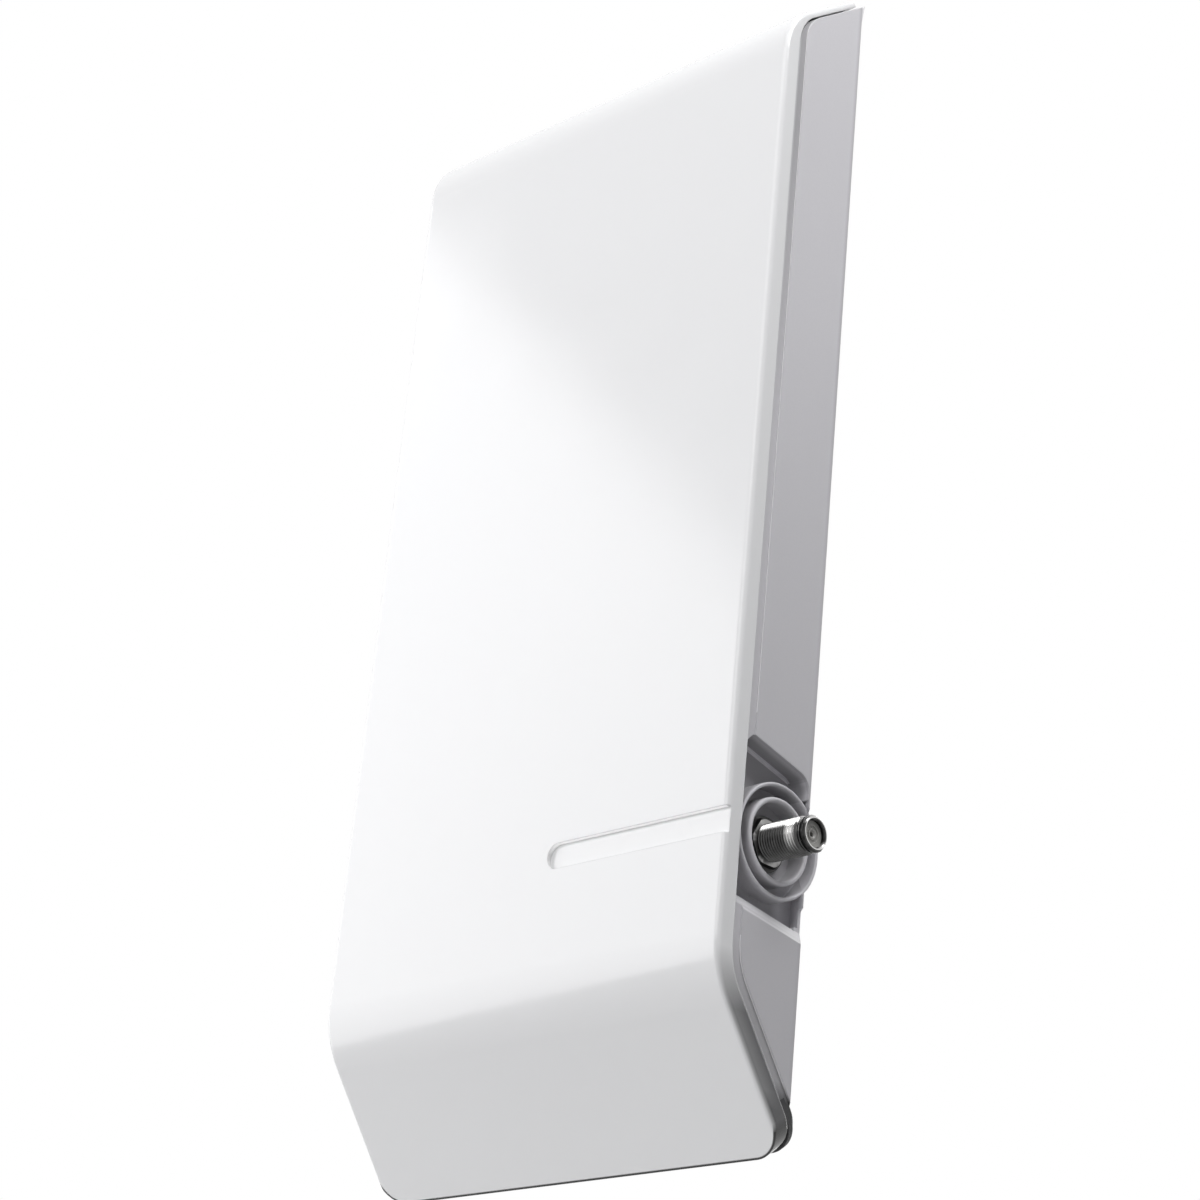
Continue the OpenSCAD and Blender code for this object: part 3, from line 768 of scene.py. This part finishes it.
def lower_lip(material):
    """The lip of the housing that shows round the lower corners and along the end, black as
    painted shade.
    """
    along, inward = Vector((0, CHIN_Y, -CHIN_Z)), Vector((0, CHIN_Z, CHIN_Y))
    end = Vector((0, -CHIN_END_Y, -CHIN_END_Z))
    # In millimetres: across the panel, and along the chin's face from its lower end
    half, drop, radius, steps = 68.55, 0.8, 8.2, 16
    path = [(half - 0.15, -24.0), (half - 0.1, -16.0), (half, drop - radius)]
    for k in range(1, steps + 1):
        a = math.pi / 2 * k / steps
        path.append((half - radius + radius * math.cos(a), drop - radius + radius * math.sin(a)))
    path += [(-x, u) for x, u in reversed(path)]
    # In millimetres: depth below the chin's face, and how far out of the path
    front, back, bevel, sunk = 5.55, 7.45, 0.15, 1.6
    section = [
        (front, -bevel), (front + bevel, 0.0), (back - bevel, 0.0), (back, -bevel),
        (back, -sunk), (front, -sunk),
    ]
    points, faces = [], []
    last = len(path) - 1
    for i, (x, u) in enumerate(path):
        before, after = path[max(i - 1, 0)], path[min(i + 1, last)]
        run = Vector((after[0] - before[0], after[1] - before[1])).normalized()
        out = Vector((run.y, -run.x))
        for deep, rise in section:
            place = Vector(((x + out.x * rise) * MM, 0, 0)) + end
            points.append(place + along * (u + out.y * rise) * MM + inward * deep * MM)
    count = len(section)
    for i in range(last):
        row, next_row = i * count, (i + 1) * count
        for k in range(count):
            m = (k + 1) % count
            faces.append((row + k, row + m, next_row + m, next_row + k))
    faces.append(tuple(range(count)))
    faces.append(tuple(last * count + k for k in range(count)))
    finish_piece(build_mesh("lower_lip", points, faces, material), "seal_black")


# Operators
class AERIAL_OT_front_cover(Operator):
    """Finishes the gloss white cover"""

    bl_idname = "aerial.front_cover"
    bl_label = "Front cover"

    def execute(self, context):
        finish = context.scene.aerial_finish
        white = gloss_white(tuple(finish.cover_colour), tuple(finish.chin_shade_colour))
        paint_nodes(white, "front_cover")
        return {"FINISHED"}


class AERIAL_OT_rear_housing(Operator):
    """Finishes the grained grey housing and its seals, and builds its lower lip"""

    bl_idname = "aerial.rear_housing"
    bl_label = "Rear housing"

    def execute(self, context):
        finish = context.scene.aerial_finish
        grey = housing_plastic(tuple(finish.housing_colour), tuple(finish.strip_shade_colour))
        paint_nodes(grey, "rear_housing")
        seal_rubber_and_lip_shade = grained_plastic("seal_black", (0.03, 0.03, 0.032), 1500.0, 0.1, 0.6)
        paint_nodes(seal_rubber_and_lip_shade, "cover_seal", "connector_seal")
        # The lower lip takes the black rubber as painted shade, standing in for the shade along
        # the housing's lower edge
        lower_lip(seal_rubber_and_lip_shade)
        return {"FINISHED"}


class AERIAL_OT_connector(Operator):
    """Builds the threaded connector with its insulator, and finishes its nut and washer"""

    bl_idname = "aerial.connector"
    bl_label = "Connector"

    def execute(self, context):
        sizes = context.scene.aerial_sizes
        finish = context.scene.aerial_finish
        nickel = connector_plating(tuple(finish.nickel_colour))
        paint_nodes(nickel, "connector_nut", "connector_washer")
        depth = sizes.thread_depth / MM
        shell = connector_shell(CREST_R - depth)
        thread = screw_thread(
            THREAD_X, NECK_X, CREST_R, depth, sizes.thread_pitch / MM, sizes.turns_steps
        )
        flats = hexagon(HEX_X, THREAD_X, HEX_FLATS, SHANK_R - 0.3)
        body = build_mesh("connector_body_finished", *joined(shell, thread, flats), nickel)
        finish_piece(body, "connector_nickel", "connector_body")
        # Painted shade: the insulator takes a mid grey for the shade in the connector's mouth
        grey = grained_plastic("insulator_grey", tuple(finish.insulator_shade_colour), 1800.0, 0.08, 0.4)
        plug = build_mesh("connector_insulator_finished", *insulator_plug(), grey)
        finish_piece(plug, "insulator_white", "connector_insulator")
        paint_nodes(plated("contact_gold", (0.83, 0.62, 0.28), 0.22), "centre_contact")
        return {"FINISHED"}


class AERIAL_OT_inner_parts(Operator):
    """Finishes the aerial elements and the amplifier inside the shell"""

    bl_idname = "aerial.inner_parts"
    bl_label = "Inner parts"

    def execute(self, context):
        brass = plated("element_brass", (0.78, 0.60, 0.28), 0.28)
        paint_nodes(plated("sheet_aluminium", (0.76, 0.77, 0.78), 0.3), "reflector_plate")
        paint_nodes(brass, "dipole_wings", "feed_lines")
        board = board_laminate("board_green", (0.03, 0.20, 0.09))
        paint_nodes(board, "antenna_board", "amplifier_board")
        paint_nodes(grained_plastic("ferrite_dark", (0.07, 0.07, 0.075)), "balun_core")
        paint_nodes(grained_plastic("spacer_nylon", (0.76, 0.74, 0.68)), "board_spacers")
        paint_nodes(grained_plastic("cable_black", (0.03, 0.03, 0.03)), "coax_jumper")
        paint_nodes(grained_plastic("chip_black", (0.04, 0.04, 0.045)), "amplifier_chip")
        paint_nodes(plated("coil_copper", (0.75, 0.40, 0.22), 0.3), "filter_coils")
        paint_nodes(grained_plastic("chip_tan", (0.55, 0.45, 0.35)), "chip_components")
        paint_nodes(plated("can_tin", (0.72, 0.72, 0.70), 0.3), "shield_frame", "shield_lid")
        return {"FINISHED"}


class AERIAL_OT_back_fittings(Operator):
    """Finishes the screws, threaded inserts and vent in the back"""

    bl_idname = "aerial.back_fittings"
    bl_label = "Back fittings"

    def execute(self, context):
        steel = plated("screw_steel", (0.60, 0.60, 0.60), 0.28)
        paint_nodes(steel, "housing_screws", "board_screws", "amplifier_screws")
        paint_nodes(plated("insert_brass", (0.74, 0.57, 0.27), 0.28), "mount_inserts")
        paint_nodes(grained_plastic("vent_grey", (0.10, 0.10, 0.105)), "vent_plug")
        return {"FINISHED"}


class AERIAL_OT_stage(Operator):
    """Sets the camera, the lamps, the floor and the white surroundings"""

    bl_idname = "aerial.stage"
    bl_label = "Studio"

    def lamp(self, name, place, target, size, watts, along):
        """A soft lamp that faces a point; along, if given, is the run of its long side."""
        data = bpy.data.lights.new(name, "AREA")
        data.shape = "RECTANGLE"
        data.size, data.size_y = size
        data.energy = watts * bpy.context.scene.aerial_finish.lamp_level
        obj = bpy.data.objects.new(name, data)
        back = (Vector(place) - Vector(target)).normalized()
        side = Vector(along) if along else Vector((0, 0, 1)).cross(back)
        side = (side - side.dot(back) * back).normalized()
        turn = Matrix((side, back.cross(side), back)).transposed().to_4x4()
        obj.matrix_world = Matrix.Translation(place) @ turn
        obj.visible_camera = False
        bpy.context.scene.collection.objects.link(obj)

    def camera(self):
        """The camera at the photo's angle."""
        data = bpy.data.cameras.new("photo_camera")
        data.sensor_width = 36.0
        data.lens = CAMERA_LENS
        data.clip_start = 0.01
        obj = bpy.data.objects.new("photo_camera", data)
        turn = Matrix([Vector(axis) for axis in CAMERA_AXES]).transposed().to_4x4()
        obj.matrix_world = Matrix.Translation(CAMERA_PLACE) @ turn
        bpy.context.scene.collection.objects.link(obj)
        bpy.context.scene.camera = obj

    def world(self):
        """Surroundings that look white and light the piece only a little."""
        paint = Paint("studio", bpy.data.worlds)
        bpy.context.scene.world = paint.material
        lit = paint.node("ShaderNodeBackground", None, (0.92, 0.95, 1.0), 0.07)
        white = paint.node("ShaderNodeBackground", None, WHITE, 1.0)
        both = paint.node("ShaderNodeMixShader", None, paint.seen(), lit, white)
        paint.node("ShaderNodeOutputWorld", None, both)

    def floor(self):
        """A pale floor that keeps the shadow below the piece and turns white farther out."""
        corners = [
            (x * FLOOR_HALF, y * FLOOR_HALF, FLOOR_Z)
            for x, y in ((-1, -1), (1, -1), (1, 1), (-1, 1))
        ]
        paint = Paint("studio_floor")
        colour = paint.mix(paint.noise(30.0, 3.0), (0.80, 0.80, 0.80), (0.83, 0.83, 0.83))
        matt = paint.node("ShaderNodeBsdfPrincipled", None, Base_Color=colour, Roughness=0.7)
        white = paint.node("ShaderNodeEmission", None, WHITE, 1.0)
        far = (paint.axis(0) * paint.axis(0) + paint.axis(1) * paint.axis(1)) ** 0.5
        fade = paint.seen() * paint.ramp(far, 0.15, 0.9, 0.75, 1.0)
        shader = paint.node("ShaderNodeMixShader", None, fade, matt, white)
        paint.node("ShaderNodeOutputMaterial", None, shader)
        obj = build_mesh("studio_floor", corners, [(0, 1, 2, 3)], paint.material)

    def execute(self, context):
        self.camera()
        self.world()
        self.floor()
        for settings in LAMPS:
            self.lamp(*settings)
        context.scene.view_settings.view_transform = "Standard"
        return {"FINISHED"}


class AERIAL_PT_panel(Panel):
    """Lists the pieces of the aerial"""

    bl_label = "Slim Outdoor Aerial"
    bl_idname = "AERIAL_PT_panel"
    bl_space_type = "VIEW_3D"
    bl_region_type = "UI"
    bl_category = "Aerial"

    def draw(self, context):
        layout = self.layout
        for group in (context.scene.aerial_sizes, context.scene.aerial_finish):
            for key in type(group).__annotations__:
                layout.prop(group, key)
        for operator in OPERATORS:
            layout.operator(operator.bl_idname)


OPERATORS = (
    AERIAL_OT_front_cover,
    AERIAL_OT_rear_housing,
    AERIAL_OT_connector,
    AERIAL_OT_inner_parts,
    AERIAL_OT_back_fittings,
    AERIAL_OT_stage,
)
CLASSES = (AerialSizes, AerialFinish, *OPERATORS, AERIAL_PT_panel)


def register():
    for cls in CLASSES:
        bpy.utils.register_class(cls)
    bpy.types.Scene.aerial_sizes = PointerProperty(type=AerialSizes)
    bpy.types.Scene.aerial_finish = PointerProperty(type=AerialFinish)


def unregister():
    del bpy.types.Scene.aerial_finish
    del bpy.types.Scene.aerial_sizes
    for cls in reversed(CLASSES):
        bpy.utils.unregister_class(cls)


def main():
    register()
    for operator in OPERATORS:
        group, name = operator.bl_idname.split(".")
        getattr(getattr(bpy.ops, group), name)()


if __name__ == "__main__":
    main()
